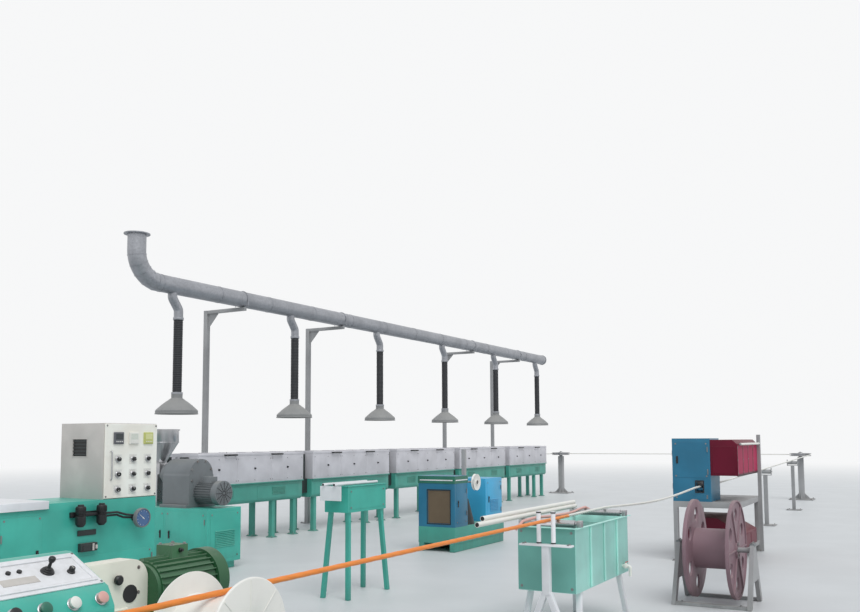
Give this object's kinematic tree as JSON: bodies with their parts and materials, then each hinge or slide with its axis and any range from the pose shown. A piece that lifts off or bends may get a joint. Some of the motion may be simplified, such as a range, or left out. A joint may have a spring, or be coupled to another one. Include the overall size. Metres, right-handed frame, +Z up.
{
  "type": "cable insulation extrusion line",
  "caption": "Folded cable insulation line: extruder, hinged curing ovens under fume hoods, turning sheaves, capstan, water tank, reels and take-up.",
  "frame": {"origin": "on the floor, under the middle of the whole line's box", "axes": "+X from the take-up end to the turning sheaves, +Y from the return run to the oven run, +Z up"},
  "size_m": [24.4, 9.4, 4.72],
  "materials": {
    "teal_paint": "semi-gloss",
    "oven_white": "satin",
    "dark_grey": "matt",
    "black_plastic": "matt",
    "galvanised": "spangled",
    "hood_grey": "satin",
    "grey_paint": "satin",
    "cream_paint": "satin",
    "sheet_white": "semi-gloss",
    "cast_grey": "painted",
    "bright_steel": "brushed",
    "blue_paint": "semi-gloss",
    "light_blue_paint": "semi-gloss",
    "crimson_paint": "semi-gloss",
    "reel_paint": "worn",
    "white_plastic": "satin",
    "sheave_steel": "turned",
    "motor_green": "painted",
    "cable_orange": "satin"
  },
  "bodies": {
    "line": {"oven_bases": "teal_paint", "oven_body_1": "oven_white", "oven_body_2": "oven_white", "oven_body_3": "oven_white", "oven_body_4": "oven_white", "oven_body_5": "oven_white", "link_boxes": "dark_grey", "exhaust_pipe": "galvanised", "exhaust_elbow": "galvanised", "drop_pipes": "galvanised", "hoods": "hood_grey", "pipe_posts": "grey_paint", "turn_stands": "grey_paint", "roller_posts": "grey_paint", "drive_cabinet": "teal_paint", "worktop": "sheet_white", "control_cabinet": "grey_paint", "control_panel": "cream_paint", "control_knobs": "dark_grey", "air_unit": "black_plastic", "extruder_base": "teal_paint", "extruder_gearbox": "cast_grey", "extruder_barrel": "bright_steel", "extruder_hopper": "bright_steel", "crosshead": "bright_steel", "capstan_frame": "grey_paint", "capstan_cabinet": "blue_paint", "capstan_guards": "crimson_paint", "reel_stand": "grey_paint", "tank_shell": "teal_paint", "tank_legs": "sheet_white", "tank_rollers": "bright_steel", "tank_tubes": "white_plastic", "tank_guide": "sheet_white", "takeup_frame": "teal_paint", "takeup_console": "teal_paint", "console_panel": "sheet_white", "takeup_motor": "motor_green", "belt_guard": "cream_paint", "guide_trough": "teal_paint", "trough_tubes": "white_plastic", "haul_base": "teal_paint", "haul_cabinet": "blue_paint", "haul_drive": "light_blue_paint", "haul_mast": "grey_paint", "cable": "cable_orange"},
    "lid_1": {"oven_lid_1": "oven_white"},
    "lid_2": {"oven_lid_2": "oven_white"},
    "lid_3": {"oven_lid_3": "oven_white"},
    "lid_4": {"oven_lid_4": "oven_white"},
    "lid_5": {"oven_lid_5": "oven_white"},
    "takeup_bobbin_rotor": {"takeup_bobbin": "white_plastic"},
    "guide_bobbin_rotor": {"guide_bobbin": "white_plastic"},
    "steel_reel_rotor": {"steel_reel": "reel_paint"},
    "turn_sheave_rear_rotor": {"turn_sheave_rear": "sheave_steel"},
    "turn_sheave_front_rotor": {"turn_sheave_front": "sheave_steel"},
    "haul_pulley_rotor": {"haul_pulley": "white_plastic"}
  },
  "joints": [
    {"name": "lid_1_hinge", "type": "hinge", "parent": "line", "child": "lid_1", "pos_m": [-2.3, 4.144, 1.425], "axis": [-1, 0, 0], "range_deg": [0, 55]},
    {"name": "lid_2_hinge", "type": "hinge", "parent": "line", "child": "lid_2", "pos_m": [0.58, 4.144, 1.425], "axis": [-1, 0, 0], "range_deg": [0, 55]},
    {"name": "lid_3_hinge", "type": "hinge", "parent": "line", "child": "lid_3", "pos_m": [3.46, 4.144, 1.425], "axis": [-1, 0, 0], "range_deg": [0, 55]},
    {"name": "lid_4_hinge", "type": "hinge", "parent": "line", "child": "lid_4", "pos_m": [6.34, 4.144, 1.425], "axis": [-1, 0, 0], "range_deg": [0, 55]},
    {"name": "lid_5_hinge", "type": "hinge", "parent": "line", "child": "lid_5", "pos_m": [9.22, 4.144, 1.425], "axis": [-1, 0, 0], "range_deg": [0, 55]},
    {"name": "takeup_bobbin_spin", "type": "hinge", "parent": "line", "child": "takeup_bobbin_rotor", "pos_m": [-11.7, -3.55, 0.8427], "axis": [0, 1, 0], "continuous": true},
    {"name": "guide_bobbin_spin", "type": "hinge", "parent": "line", "child": "guide_bobbin_rotor", "pos_m": [-10.57, -3.55, 0.8427], "axis": [0, 1, 0], "continuous": true},
    {"name": "steel_reel_spin", "type": "hinge", "parent": "line", "child": "steel_reel_rotor", "pos_m": [-4.25, -4.32, 0.535], "axis": [0, 1, 0], "continuous": true},
    {"name": "turn_sheave_rear_spin", "type": "hinge", "parent": "line", "child": "turn_sheave_rear_rotor", "pos_m": [11.9, 3.55, 1.2], "axis": [0, 0, 1], "continuous": true},
    {"name": "turn_sheave_front_spin", "type": "hinge", "parent": "line", "child": "turn_sheave_front_rotor", "pos_m": [11.9, -3.3, 1.2], "axis": [0, 0, 1], "continuous": true},
    {"name": "haul_pulley_spin", "type": "hinge", "parent": "line", "child": "haul_pulley_rotor", "pos_m": [-1.48, -0.22, 1], "axis": [0, 1, 0], "continuous": true}
  ]
}
